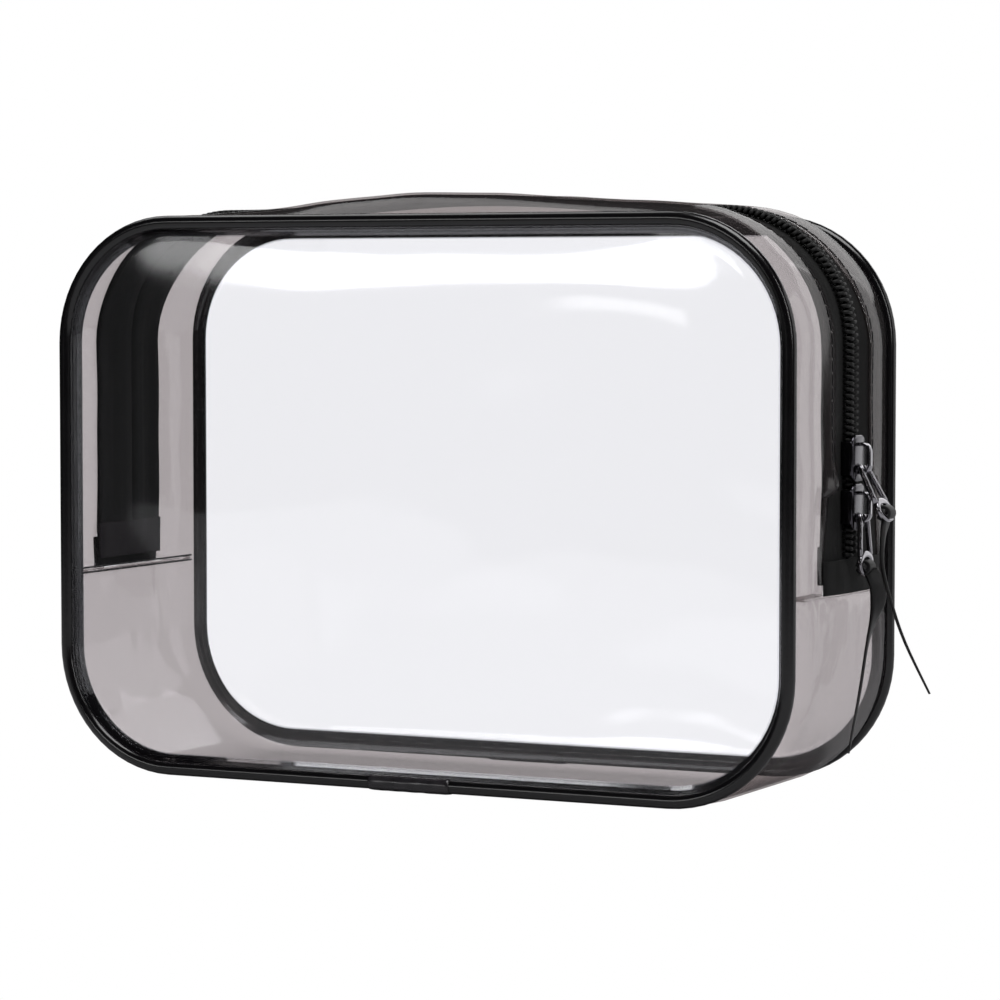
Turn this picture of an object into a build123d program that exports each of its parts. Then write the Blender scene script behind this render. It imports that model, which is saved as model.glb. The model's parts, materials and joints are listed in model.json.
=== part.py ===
"""Clear zip pouch for makeup: a boxy see-through bag.

Two clear panels and a smoke-tinted gusset band are sewn together over glossy welt piping.
A coil zip runs up both sides and over the top, with two sliders parked head to head low on
the right side. Millimetres, +Z up. The origin is the middle of the flat bottom, the front
panel faces -Y, and the sliders are on the +X side.
"""
from build123d import *
import math
import os

# ---- driving dimensions -------------------------------------------------------------------
WIDTH = 200.0            # outside, over the gusset band
HEIGHT = 140.0           # outside, without the zip chain that stands proud of the top
DEPTH = 68.0             # outside, over both pipings
CORNER_RADIUS = 32.0     # outer corner of the gusset band, seen from the front
LAYER_GAP = 0.05         # air left between two layers that lie on each other
OVERCUT = 1.0            # cutters run this far past the faces that they cut

PANEL_THICK = 0.4        # clear PVC film
GUSSET_THICK = 0.5       # smoke PVC film
PIPING_DIAMETER = 3.5    # welt tube
FLANGE_THICK = 0.6       # welt flange that is sewn between the films
SEAM_LEAN = 40.0         # degrees that the seam allowance turns into the bag
SEAM_ROOT = 0.65         # from the tube to where the films part
SEAM_ALLOWANCE = 1.5     # from that root to the raw edges
GUSSET_EASE = 10.0       # depth over which the band curves out from the seam
JOIN_LENGTH = 22.0       # sleeve over the two ends of a piping
JOIN_THICK = 0.25        # the band stands outside the tube by this and its gap
JOIN_CENTRE_X = 0.0

ZIP_END_SHARE = 5 / 14   # height of the cross seams, where the zip ends, as a share of the bag's
TURN_IN = 2.2            # the films' ends turn this far into the bag at a cross seam
TURN_IN_EASE = 0.45      # share of the curve from the piping's seam that stays unturned
ZIP_TAPE_WIDTH = 31.0    # both tapes with the chain between them
ZIP_TAPE_THICK = 0.5
TAPE_END_GAP = 2.5       # from a cross seam up to the tapes' ends
ZIP_OPEN_WIDTH = 20.0    # zip seen between the two smoke strips
TRIM_HEIGHT = 24.0       # the strips are trimmed wider apart this far above the cross seams
TRIM_OPEN_WIDTH = 27.4   # between them at the top of that trim
STRIP_OVERLAP = 1.0      # of a strip over its tape's edge, at the bottom of the trim
CHAIN_WIDTH = 6.0
CHAIN_HEIGHT = 2.1       # coil above its tape
CHAIN_SLIT = 1.2         # line in the middle where the coil heads mesh
COIL_ROUNDING = 0.7      # chamfer along the chain's outer edges
END_PATCH_HEIGHT = 8.0   # woven patch outside, over each end of the chain
END_LINING_HEIGHT = 9.0  # woven patch inside, over the tapes' ends

SLIDER_LENGTH = 11.0
SLIDER_LIP = 1.15        # each side, down beside the chain
SLIDER_WALL = 1.0
SLIDER_GAP = 0.15        # running clearance round the chain and the tape
POST_WIDTH = 0.8         # diamond that joins the slider's two plates
POST_LENGTH = 4.0
PARK_HEIGHT = 14.7       # bottom edge of the lower slider as parked, above the cross seams
SLIDER_PARK_GAP = 0.5    # between the two parked sliders
BAIL_LENGTH = 7.6
BAIL_RISE = 3.1          # above the slider's top plate
BAIL_WIDTH = 2.0
BAIL_THICK = 0.9
BAIL_BEND = 2.2          # outside radius of its two bends
BAIL_FOOT_DEPTH = 0.6    # staked into the top plate

PULL_LENGTH = 15.0       # from its pivot bar to its end
PULL_THICK = 1.2
PULL_RAIL = 1.1          # each side of the long window
PULL_SIDE_GAP = 0.7      # between a rail and the bail
PULL_END_RAIL = 1.5      # each side of the strap's eye
PULL_END_BAR = 1.6       # bar that the strap hangs from
EYE_LENGTH = 2.4         # slot that the strap passes through
EYE_SIDE_GAP = 0.8
PULL_BRIDGE = 1.4        # between the long window and the slot
PIVOT_CLEARANCE = 0.1
UPPER_PULL_LEAN = 28.0   # degrees out from hanging straight, propped by the lower slider
LOWER_PULL_LEAN = 3.0

STRAP_WIDTH = 4.0
STRAP_THICK = 0.8
STRAP_LENGTH = 41.0      # from the pull's end bar to its cut end
STRAP_DOUBLED = 12.0     # length over which it is folded back on itself and glued
STRAP_EYE_GAP = 0.15
UPPER_STRAP_LEAN = 16.0
LOWER_STRAP_LEAN = 3.0
LOWER_STRAP_SKEW = 30.0  # degrees that the lower strap hangs towards the front

# ---- what follows from them ---------------------------------------------------------------
PIPING_RADIUS = PIPING_DIAMETER / 2
PIPING_SET_IN = JOIN_THICK + 2 * LAYER_GAP
PIPING_CENTRE = (PIPING_SET_IN + PIPING_RADIUS, PIPING_RADIUS)
ROOT_REACH = PIPING_RADIUS + SEAM_ROOT
SEAM_REACH = ROOT_REACH + SEAM_ALLOWANCE
ZIP_END_Z = HEIGHT * ZIP_END_SHARE
TAPE_FACE = GUSSET_THICK + LAYER_GAP
TAPE_BACK = TAPE_FACE + ZIP_TAPE_THICK
END_OPEN_WIDTH = ZIP_TAPE_WIDTH - 2 * STRIP_OVERLAP
TAPE_END_Z = ZIP_END_Z + TAPE_END_GAP
LOWER_SLIDER_Z = ZIP_END_Z + PARK_HEIGHT
UPPER_SLIDER_Z = LOWER_SLIDER_Z + SLIDER_LENGTH + SLIDER_PARK_GAP
SLIDER_WIDTH = CHAIN_WIDTH + 2 * (SLIDER_GAP + SLIDER_LIP)
PLATE_FACE = CHAIN_HEIGHT - TAPE_FACE + SLIDER_GAP      # underside of the slider's top plate
PLATE_TOP = PLATE_FACE + SLIDER_WALL
PIVOT_RADIUS = PULL_THICK / 2
PIVOT_OUT = PLATE_TOP + (BAIL_RISE - BAIL_THICK) / 2    # outward from the band's face
EYE_WIDTH = STRAP_WIDTH + 2 * EYE_SIDE_GAP
PULL_TOP_WIDTH = BAIL_WIDTH + 2 * (PULL_SIDE_GAP + PULL_RAIL)
PULL_END_WIDTH = EYE_WIDTH + 2 * PULL_END_RAIL


# ---- helpers ------------------------------------------------------------------------------
def strip(points, thick, aside=0.0):
    """Closed outline of a film that follows points, with mitred bends, moved aside to its left."""
    left, right = [], []
    for i, (x, y) in enumerate(points):
        before = points[max(i - 1, 0)]
        after = points[min(i + 1, len(points) - 1)]
        a = math.atan2(y - before[1], x - before[0]) if i else None
        b = math.atan2(after[1] - y, after[0] - x) if i < len(points) - 1 else None
        a = b if a is None else a
        b = a if b is None else b
        turn = math.remainder(b - a, 2 * math.pi)
        way = a + turn / 2 + math.pi / 2
        for edge, reach in ((left, aside + thick / 2), (right, aside - thick / 2)):
            reach /= math.cos(turn / 2)
            edge.append((x + reach * math.cos(way), y + reach * math.sin(way)))
    return left + right[::-1]


def on_seam(along, aside):
    """Point of the seam's section: along it from the tube's centre, and aside, + to the panel."""
    lean = math.radians(SEAM_LEAN)
    s = PIPING_CENTRE[0] + along * math.cos(lean) + aside * math.sin(lean)
    t = PIPING_CENTRE[1] + along * math.sin(lean) - aside * math.cos(lean)
    return s, t


def section(outline):
    """Face in the X-Y plane from (inward, depth) points."""
    return make_face(Polyline(*outline, close=True))


def right_run(face, z0, z1):
    """Section carried straight up the right side. Inward is -X, depth is +Y from the front."""
    placed = Location((WIDTH / 2, -DEPTH / 2, z0)) * mirror(face, about=Plane.YZ)
    return extrude(placed, amount=z1 - z0, dir=(0, 0, 1))


def right_corner(face, z_centre, start, end):
    """Section turned round a right corner, from angle start to end about the corner's axis."""
    turn = Axis((WIDTH / 2 - CORNER_RADIUS, 0, z_centre), (0, -1, 0))
    placed = Location((WIDTH / 2, -DEPTH / 2, z_centre)) * mirror(face, about=Plane.YZ)
    swept = revolve(placed, axis=turn, revolution_arc=end - start)
    return swept.rotate(turn, start)


def half_band(face, z_side, upper):
    """Right half of a band: the side from z_side, the corner, and half of the top or bottom."""
    z_corner = HEIGHT - CORNER_RADIUS if upper else CORNER_RADIUS
    side = right_run(face, min(z_side, z_corner), max(z_side, z_corner))
    corner = right_corner(face, z_corner, 0, 90) if upper else right_corner(face, z_corner, -90, 0)
    reach = WIDTH / 2 - CORNER_RADIUS
    cut = corner.faces().filter_by(Axis.X).sort_by(Axis.X)[0]
    run = extrude(cut, amount=reach, dir=(-1, 0, 0))
    return side + corner + run


def band(face, z_side, upper):
    """Section carried round the upper or the lower part of the outline, side to side."""
    right = half_band(face, z_side, upper)
    return (right + mirror(right, about=Plane.YZ)).clean()


def ring(face):
    """Section carried round the whole outline."""
    middle = HEIGHT / 2
    return (band(face, middle, True) + band(face, middle, False)).clean()


def to_back(shape):
    """The same piece on the back panel's side."""
    return mirror(shape, about=Plane.XZ)


# ---- films and piping ---------------------------------------------------------------------
def seam_layer(thick, side):
    """Centre line of a film in the seam, raw edge first. side is + for the panel."""
    aside = side * (FLANGE_THICK / 2 + LAYER_GAP + thick / 2)
    return [on_seam(SEAM_REACH, aside), on_seam(ROOT_REACH, aside)]


def clear_panel():
    """Front panel: a flat film whose edge folds back into the seam all round."""
    lip = seam_layer(PANEL_THICK, 1)
    inner = SEAM_REACH + PIPING_DIAMETER
    edge = ring(section(strip(lip + [(inner, lip[1][1])], PANEL_THICK)))
    plate = RectangleRounded(WIDTH - 2 * inner, HEIGHT - 2 * inner, CORNER_RADIUS - inner)
    face = Plane(origin=(0, -DEPTH / 2 + lip[1][1] - PANEL_THICK / 2, HEIGHT / 2),
                 x_dir=(1, 0, 0), z_dir=(0, 1, 0)) * plate
    return (edge + extrude(face, amount=PANEL_THICK, dir=(0, 1, 0))).clean()


def gusset_line():
    """Centre line of the smoke film from its raw edge to the flat of the band."""
    return seam_layer(GUSSET_THICK, -1) + [(GUSSET_THICK / 2, PIPING_DIAMETER + GUSSET_EASE)]


def turned_in(points, z0):
    """Lips on both sides of the bag where a film that follows points turns in at a cross seam."""
    outline = strip(points, GUSSET_THICK + TURN_IN, -TURN_IN / 2)
    lip = right_run(section(outline), z0, z0 + GUSSET_THICK)
    return lip + mirror(lip, about=Plane.YZ)


def lip_start():
    """Where a cross seam's lips start, on the curve out from the piping's seam."""
    root, flat = gusset_line()[1:]
    return tuple(a + (b - a) * TURN_IN_EASE for a, b in zip(root, flat))


def bottom_gusset():
    """Smoke band under the bag and up both sides to the cross seams, where its ends turn in."""
    near = gusset_line()
    far = [(s, DEPTH - t) for s, t in reversed(near)]
    top = ZIP_END_Z - LAYER_GAP
    wall = band(section(strip(near + far, GUSSET_THICK)), top, False)
    lip = [lip_start(), near[-1], far[0], (lip_start()[0], DEPTH - lip_start()[1])]
    return wall + turned_in(lip, top - GUSSET_THICK)


def strip_trim():
    """What is trimmed off a front strip so that it clears the zip's end, on both sides."""
    low, high = ZIP_END_Z + END_PATCH_HEIGHT, ZIP_END_Z + TRIM_HEIGHT
    end_y, top_y, open_y = -END_OPEN_WIDTH / 2, -TRIM_OPEN_WIDTH / 2, -ZIP_OPEN_WIDTH / 2
    outline = Polyline((end_y, ZIP_END_Z - OVERCUT), (end_y, low), (top_y, high),
                       (open_y + OVERCUT, high), (open_y + OVERCUT, ZIP_END_Z - OVERCUT), close=True)
    cutter = extrude(Plane.YZ * make_face(outline), amount=WIDTH / 2 + OVERCUT, both=True)
    return cutter


def zip_strip():
    """Smoke strip between the front piping and the zip."""
    edge = (GUSSET_THICK / 2, (DEPTH - ZIP_OPEN_WIDTH) / 2)
    line = gusset_line()
    wall = band(section(strip(line + [edge], GUSSET_THICK)), ZIP_END_Z, True)
    return wall + turned_in([lip_start(), line[-1], edge], ZIP_END_Z) - strip_trim()


def piping():
    """Welt: a tube with its sewing flange, all in one length."""
    flange = section(strip([PIPING_CENTRE, on_seam(SEAM_REACH, 0)], FLANGE_THICK))
    tube = Location(PIPING_CENTRE) * Circle(PIPING_RADIUS)
    return ring((tube + flange).faces()[0])


def piping_join():
    """Thin sleeve over the butted ends of the piping, in the middle of the bottom."""
    bore = PIPING_RADIUS + LAYER_GAP
    tube = Circle(bore + JOIN_THICK) - Circle(bore)
    mouth = FLANGE_THICK + PANEL_THICK + GUSSET_THICK + 2 * PANEL_THICK
    slot = Rot(0, 0, SEAM_LEAN) * Location((bore, 0)) * Rectangle(bore * 2, mouth)
    sleeve = Location(PIPING_CENTRE) * (tube - slot)
    start = (JOIN_CENTRE_X - JOIN_LENGTH / 2, -DEPTH / 2, 0)
    placed = Plane(origin=start, x_dir=(0, 0, 1), z_dir=(-1, 0, 0)) * sleeve
    return extrude(placed, amount=JOIN_LENGTH, dir=(1, 0, 0))


# ---- zip ----------------------------------------------------------------------------------
def flat_profile(s0, s1, t0, t1):
    """Rectangular section between two depths."""
    return section([(s0, t0), (s1, t0), (s1, t1), (s0, t1)])


def zip_tape():
    """Front tape, sewn under its strip."""
    near = (DEPTH - ZIP_TAPE_WIDTH) / 2
    profile = flat_profile(TAPE_FACE, TAPE_BACK, near, (DEPTH - CHAIN_SLIT) / 2)
    return band(profile, TAPE_END_Z, True)


def zip_coil():
    """Front half of the nylon chain, with its outer edge rounded."""
    near = (DEPTH - CHAIN_WIDTH) / 2
    top, base = TAPE_FACE - CHAIN_HEIGHT, TAPE_FACE - LAYER_GAP
    outline = [(base, near), (top + COIL_ROUNDING, near), (top, near + COIL_ROUNDING),
               (top, (DEPTH - CHAIN_SLIT) / 2), (base, (DEPTH - CHAIN_SLIT) / 2)]
    return band(section(outline), ZIP_END_Z + END_PATCH_HEIGHT + LAYER_GAP, True)


def side_plate(out0, out1, width, z0, z1):
    """Flat piece on the right side of the bag, between two distances out from the band."""
    size = (out1 - out0, width, z1 - z0)
    return Location((WIDTH / 2 + out0 + size[0] / 2, 0, z0 + size[2] / 2)) * Box(*size)


def zip_end_patch():
    """Woven patch over the end of the chain, between the strips. Its end turns in with theirs."""
    width = END_OPEN_WIDTH - 2 * LAYER_GAP
    base = LAYER_GAP - TAPE_FACE
    patch = side_plate(base, 0, width, ZIP_END_Z, ZIP_END_Z + END_PATCH_HEIGHT)
    return patch + side_plate(base - TURN_IN, 0, width, ZIP_END_Z, ZIP_END_Z + GUSSET_THICK)


def zip_end_lining():
    """Woven patch inside the bag over the tapes' ends."""
    face = -TAPE_BACK - LAYER_GAP
    return side_plate(face - ZIP_TAPE_THICK, face, ZIP_TAPE_WIDTH, TAPE_END_Z,
                      TAPE_END_Z + END_LINING_HEIGHT)


# ---- sliders ------------------------------------------------------------------------------
def slider_body(z0, head_up):
    """Cast slider: top plate with two lips, bottom plate, and the diamond between them."""
    z1 = z0 + SLIDER_LENGTH
    top = fillet(side_plate(PLATE_FACE, PLATE_TOP, SLIDER_WIDTH, z0, z1).edges().filter_by(Axis.X),
                 SLIDER_WALL)
    lip_low = SLIDER_GAP - TAPE_FACE
    lip_y = (SLIDER_WIDTH - SLIDER_LIP) / 2
    lip = side_plate(lip_low, PLATE_FACE, SLIDER_LIP, z0 + SLIDER_WALL, z1 - SLIDER_WALL)
    base_face = -TAPE_BACK - SLIDER_GAP
    base = side_plate(base_face - SLIDER_WALL, base_face, SLIDER_WIDTH - SLIDER_LIP, z0, z1)
    post_z = z1 - SLIDER_WALL - POST_LENGTH if head_up else z0 + SLIDER_WALL
    post = side_plate(base_face, PLATE_FACE, POST_WIDTH, post_z, post_z + POST_LENGTH)
    sockets = [side_plate(PLATE_TOP - BAIL_FOOT_DEPTH, PLATE_TOP + OVERCUT,
                          BAIL_WIDTH + 2 * LAYER_GAP, low - LAYER_GAP, high + LAYER_GAP)
               for low, high in bail_feet(z0)]
    body = top + Location((0, lip_y, 0)) * lip + Location((0, -lip_y, 0)) * lip + base + post
    for socket in sockets:
        body -= socket
    return body


def bail_feet(z0):
    """Bottom and top of each of the bail's two feet."""
    low = z0 + (SLIDER_LENGTH - BAIL_LENGTH) / 2
    high = low + BAIL_LENGTH
    return [(low, low + BAIL_THICK), (high - BAIL_THICK, high)]


def bail(z0):
    """Bridge staked into the slider's top plate, which the pull's pivot bar runs under."""
    feet = bail_feet(z0)
    low, high = feet[0][0], feet[1][1]
    foot = PLATE_TOP - BAIL_FOOT_DEPTH + LAYER_GAP
    outer = side_plate(foot, PLATE_TOP + BAIL_RISE, BAIL_WIDTH, low, high)
    outer = fillet(outer.edges().filter_by(Axis.Y).sort_by(Axis.X)[-2:], BAIL_BEND)
    window = side_plate(foot - OVERCUT, PLATE_TOP + BAIL_RISE - BAIL_THICK, BAIL_WIDTH + OVERCUT,
                        low + BAIL_THICK, high - BAIL_THICK)
    window = fillet(window.edges().filter_by(Axis.Y).sort_by(Axis.X)[-2:], BAIL_BEND - BAIL_THICK)
    return outer - window


def pivot_point(z0):
    """Centre of the pull's pivot bar, at the bottom of the bail's window."""
    z = bail_feet(z0)[0][1] + PIVOT_CLEARANCE + PIVOT_RADIUS
    return WIDTH / 2 + PIVOT_OUT, 0, z


def hang(shape, point, lean):
    """Places a piece built hanging down from the origin, leant out of the side by lean."""
    return Location(point) * Rot(0, -lean, 0) * shape


def pull_tab():
    """Metal pull hanging from its pivot bar: two flared rails, a bridge, and an eye."""
    start = PIVOT_RADIUS + PULL_END_BAR
    outline = Polyline((-PULL_TOP_WIDTH / 2, start), (-PULL_END_WIDTH / 2, start - PULL_LENGTH),
                       (PULL_END_WIDTH / 2, start - PULL_LENGTH), (PULL_TOP_WIDTH / 2, start),
                       close=True)
    plate = fillet(make_face(outline).vertices(), PULL_END_BAR)
    eye_top = start - PULL_LENGTH + PULL_END_BAR + EYE_LENGTH
    eye = Location((0, eye_top - EYE_LENGTH / 2)) * Rectangle(EYE_WIDTH, EYE_LENGTH)
    window_low = eye_top + PULL_BRIDGE
    window = make_face(Polyline(
        (-PULL_TOP_WIDTH / 2 + PULL_RAIL, -PIVOT_RADIUS),
        (-EYE_WIDTH / 2, window_low), (EYE_WIDTH / 2, window_low),
        (PULL_TOP_WIDTH / 2 - PULL_RAIL, -PIVOT_RADIUS), close=True))
    above = Location((0, PIVOT_RADIUS + start)) * Rectangle(PULL_TOP_WIDTH * 2, start * 2)
    flat = plate - eye - window - above
    standing = Plane.YZ * flat
    tab = extrude(standing, amount=PULL_THICK / 2, both=True)
    collar = Rot(90, 0, 0) * Cylinder(PIVOT_RADIUS, PULL_TOP_WIDTH - 2 * PULL_RAIL)
    neck = Box(PULL_THICK, BAIL_WIDTH + PULL_SIDE_GAP, PULL_THICK)
    return tab - neck + collar


def strap_bar():
    """Height of the pull's end bar below its pivot."""
    return PULL_LENGTH - PIVOT_RADIUS - PULL_END_BAR * 1.5


def pull_strap(skew):
    """Flat strap looped round the pull's end bar and glued to itself. Its single tail hangs
    towards the front by skew."""
    half = math.hypot(PULL_THICK, PULL_END_BAR) / 2 + STRAP_EYE_GAP
    outer = half + STRAP_THICK
    loop = Cylinder(outer, STRAP_WIDTH) - Cylinder(half, STRAP_WIDTH)
    loop = Rot(90, 0, 0) * loop
    throat = -half - STRAP_THICK / 2
    doubled = Location((0, 0, throat - STRAP_DOUBLED / 2)) * Box(
        2 * STRAP_THICK, STRAP_WIDTH, STRAP_DOUBLED)
    tail_length = STRAP_LENGTH - STRAP_DOUBLED + throat
    tail = Location((STRAP_THICK / 2, 0, -tail_length / 2)) * Box(
        STRAP_THICK, STRAP_WIDTH, tail_length)
    lap = STRAP_WIDTH / 2 * math.tan(math.radians(skew))
    tail = Location((0, 0, throat - STRAP_DOUBLED)) * Rot(-skew, 0, 0) * Location((0, 0, lap)) * tail
    return loop + doubled + tail


def strap_point(z0, lean):
    """Centre of the pull's end bar, where the strap swings."""
    x, y, z = pivot_point(z0)
    drop = strap_bar()
    return x + drop * math.sin(math.radians(lean)), y, z - drop * math.cos(math.radians(lean))


# ---- the assembly -------------------------------------------------------------------------
def build():
    """Every piece by its node name."""
    parts = {}
    for name, piece in {"panel": clear_panel(), "zip_strip": zip_strip(), "piping": piping(),
                        "piping_join": piping_join(), "zip_tape": zip_tape(),
                        "zip_coil": zip_coil()}.items():
        parts["front_" + name] = piece
        parts["back_" + name] = to_back(piece)
    parts["bottom_gusset"] = bottom_gusset()
    for name, piece in {"zip_end_patch": zip_end_patch(), "zip_end_lining": zip_end_lining()}.items():
        parts["right_" + name] = piece
        parts["left_" + name] = mirror(piece, about=Plane.YZ)
    sliders = {
        "upper": (UPPER_SLIDER_Z, False, UPPER_PULL_LEAN, UPPER_STRAP_LEAN, 0.0),
        "lower": (LOWER_SLIDER_Z, True, LOWER_PULL_LEAN, LOWER_STRAP_LEAN, LOWER_STRAP_SKEW),
    }
    for name, (z0, head_up, lean, strap_lean, skew) in sliders.items():
        parts[name + "_slider"] = slider_body(z0, head_up)
        parts[name + "_bail"] = bail(z0)
        parts[name + "_pull"] = hang(pull_tab(), pivot_point(z0), lean)
        parts[name + "_strap"] = hang(pull_strap(skew), strap_point(z0, lean), strap_lean)
        print(name, "pull pivot", pivot_point(z0), "strap pivot", strap_point(z0, lean))
    return parts


os.makedirs("parts", exist_ok=True)
for node, piece in build().items():
    export_step(piece, f"parts/{node}.step")
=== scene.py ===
"""Clear zip pouch for makeup: the looks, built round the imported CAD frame.

Films, piping, tapes and coil follow the same outline and section as the CAD nodes that they
stand for, and then take the small crowns and waves of soft vinyl. Sizes are millimetres here
and become metres where a mesh is made.
"""
import json
import math

import bmesh
import bpy
from mathutils import Matrix, Vector, noise

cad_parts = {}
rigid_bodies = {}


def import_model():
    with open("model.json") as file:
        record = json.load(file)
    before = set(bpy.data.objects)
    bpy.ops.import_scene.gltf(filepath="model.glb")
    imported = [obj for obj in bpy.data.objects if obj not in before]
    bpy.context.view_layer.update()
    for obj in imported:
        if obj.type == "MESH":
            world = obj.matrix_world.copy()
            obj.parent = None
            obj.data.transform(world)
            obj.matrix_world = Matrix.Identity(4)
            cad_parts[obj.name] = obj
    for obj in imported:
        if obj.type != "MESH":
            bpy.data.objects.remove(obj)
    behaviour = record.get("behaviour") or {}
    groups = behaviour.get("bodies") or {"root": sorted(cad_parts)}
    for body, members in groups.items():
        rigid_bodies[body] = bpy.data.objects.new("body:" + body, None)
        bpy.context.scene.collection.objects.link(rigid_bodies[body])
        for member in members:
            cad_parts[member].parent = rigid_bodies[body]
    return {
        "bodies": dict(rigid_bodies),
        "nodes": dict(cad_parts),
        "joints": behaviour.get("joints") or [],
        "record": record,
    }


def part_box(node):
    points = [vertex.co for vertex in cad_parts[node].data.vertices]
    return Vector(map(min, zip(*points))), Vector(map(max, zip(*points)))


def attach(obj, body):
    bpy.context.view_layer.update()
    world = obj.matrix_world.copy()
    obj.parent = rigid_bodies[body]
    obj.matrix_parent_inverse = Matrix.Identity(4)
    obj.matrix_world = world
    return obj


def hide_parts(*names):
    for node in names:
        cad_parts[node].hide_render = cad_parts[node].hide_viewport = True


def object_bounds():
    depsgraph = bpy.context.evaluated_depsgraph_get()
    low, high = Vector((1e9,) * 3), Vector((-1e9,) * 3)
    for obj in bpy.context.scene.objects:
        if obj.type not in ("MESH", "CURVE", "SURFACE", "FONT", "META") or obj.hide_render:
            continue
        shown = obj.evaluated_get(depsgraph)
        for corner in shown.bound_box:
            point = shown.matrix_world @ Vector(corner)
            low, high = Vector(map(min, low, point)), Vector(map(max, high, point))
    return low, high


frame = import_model()
cad_low, cad_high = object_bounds()

# ---- sizes, in millimetres
M = 0.001                 # metres in a millimetre


def node_box(node):
    """Lowest and highest corner of a CAD node, in millimetres."""
    return [[value / M for value in corner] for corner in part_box(node)]


gusset_low, gusset_high = node_box("bottom_gusset")
strip_low, strip_high = node_box("front_zip_strip")
piping_low = node_box("front_piping")[0]
tape_low, tape_high = node_box("front_zip_tape")
coil_low = node_box("front_zip_coil")[0]

WIDTH = gusset_high[0] - gusset_low[0]
HEIGHT = strip_high[2]
DEPTH = -2 * piping_low[1]
ZIP_END_Z = strip_low[2]
CORNER_RADIUS = 32.0      # of the outline
PANEL_THICK = 0.4
GUSSET_THICK = 0.5
PIPING_RADIUS = 1.75
PIPING_CENTRE = (piping_low[0] + WIDTH / 2 + PIPING_RADIUS, PIPING_RADIUS)
FLANGE_THICK = 0.6
SEAM_LEAN = math.radians(40)
SEAM_ROOT = 2.4           # from the tube's centre to where the films part
SEAM_REACH = 3.9          # from the tube's centre to the raw edges
FILM_SETTLE = 0.05        # air between sewn layers
GUSSET_EASE = 10.0        # depth over which the band rises from the seam to its flat
TURN_IN = 2.2             # the films' ends turn this far into the bag at a cross seam
TAPE_NEAR = tape_low[1] + DEPTH / 2
TAPE_FACE = 0.55          # inward from the band's face to the tape's face
TAPE_THICK = 0.5
TAPE_GAP = 0.02           # from each tape's edge to the zip's middle where the chain is closed
TRAVEL_GAP = 0.5          # the same, where the sliders' diamonds run
CHAIN_WIDTH = 6.0
PATCH_TOP = coil_low[2]
LIP_START = 7.5           # depth where the turned-in ends start
PATCH_LAP = 1.6           # the outer patch laps this far over the strips' trimmed edges
PATCH_RISE = 0.03         # and stands this far off the CAD patch it replaces
PATCH_THICK = 0.3
COIL_PITCH = 1.5
COIL_ROD = 0.5            # radius of the coil's nylon rod
COIL_START = 0.8          # from the patch to the first turn
HEAD_MESHED = 0.35        # how far a head reaches past the zip's middle
HEAD_OPEN = -0.5          # and how far it stays back where the sliders' diamonds run
THREAD_RADIUS = 0.16
SEAM_THREAD_RADIUS = 0.24
STITCH = 3.2              # from one needle hole to the next
STITCH_INSET = 1.6        # from a strip's free edge in to its stitches
STITCH_START = 28.0       # above the cross seam, where the strips are no longer trimmed back

CROWN = 3.0               # how far the soft top stands above its seams
PUFF = 2.2                # and how much further each strip puffs up beside the chain
PUFF_PLACE = 17.0         # from the zip's middle to the top of a puff
PUFF_HALF = 7.0           # from a puff's top to where it has mostly gone
CROWN_CENTRE = 2.0        # along the top from the middle
CROWN_HALF = 66.0         # from there to where the crown ends
BULGE = 3.4               # how far each panel's middle stands out from its seams
WAVE = 0.22               # height of the slow waves in the films
WAVE_SPAN = 17.0          # about from one wave of the band to the next
SIDE_SWELL = 1.5          # how far each side's films stand out beside the chain
STRIP_EDGE = 24.0         # depth of a strip's free edge, where the zip shows
STRIP_CUT_Z = 74.0        # below this height the strips are trimmed back to clear the zip's end
TRIM_STEP = 3.7           # how far they step back there
TRIM_SLANT = 2.3          # and how much further they slant back by the cross seam

HALF_X = WIDTH / 2 - CORNER_RADIUS
TOP_Z = HEIGHT - CORNER_RADIUS
CORNER_RUN = CORNER_RADIUS * math.pi / 2


# ---- mesh helpers
def as_mesh(bm, name):
    """A mesh of a bmesh, which it ends."""
    mesh = bpy.data.meshes.new(name)
    bm.to_mesh(mesh)
    bm.free()
    return mesh


def put(name, data):
    """A new object of data in the scene."""
    made = bpy.data.objects.new(name, data)
    bpy.context.scene.collection.objects.link(made)
    return made


def finish_piece(name, bm, material, body="bag", nodes=()):
    """Makes an object of a bmesh in millimetres, and says what it is and what it rides on."""
    bmesh.ops.scale(bm, vec=(M, M, M), verts=bm.verts)
    mesh = as_mesh(bm, name)
    for polygon in mesh.polygons:
        polygon.use_smooth = True
    mesh.materials.append(material)
    piece = put(name, mesh)
    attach(piece, body)
    if nodes:
        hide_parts(*nodes)
    return piece


def stood(point, *axes):
    """Matrix that puts a shape at a point, its X, Y and Z along three axes."""
    return Matrix.Translation(point) @ Matrix(axes).transposed().to_4x4()


def cap(bm, *loops):
    """Closes loops of edges with faces."""
    for loop in loops:
        bmesh.ops.contextual_create(bm, geom=loop)


def edges_in(made):
    """The edges among what an operator made."""
    return [item for item in made if isinstance(item, bmesh.types.BMEdge)]


def verts_in(made):
    """The points among what an operator made."""
    return [item for item in made if isinstance(item, bmesh.types.BMVert)]


def outward(bm):
    """Turns every face to look out."""
    bmesh.ops.recalc_face_normals(bm, faces=bm.faces)
    return bm


def stamp(bm, mesh, matrix):
    """Adds a copy of a mesh, moved by a matrix."""
    before = len(bm.verts)
    bm.from_mesh(mesh)
    bm.verts.ensure_lookup_table()
    bmesh.ops.transform(bm, matrix=matrix, verts=bm.verts[before:])


def straight(bm, geom, way, length, step):
    """Carries edges straight along way, in even steps."""
    steps = max(1, round(length / step))
    part = bmesh.ops.spin(bm, geom=geom, cent=(0, 0, 0), axis=(0, 0, 1), angle=0, steps=steps,
                          dvec=Vector(way) * (length / steps))
    return part["geom_last"]


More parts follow.
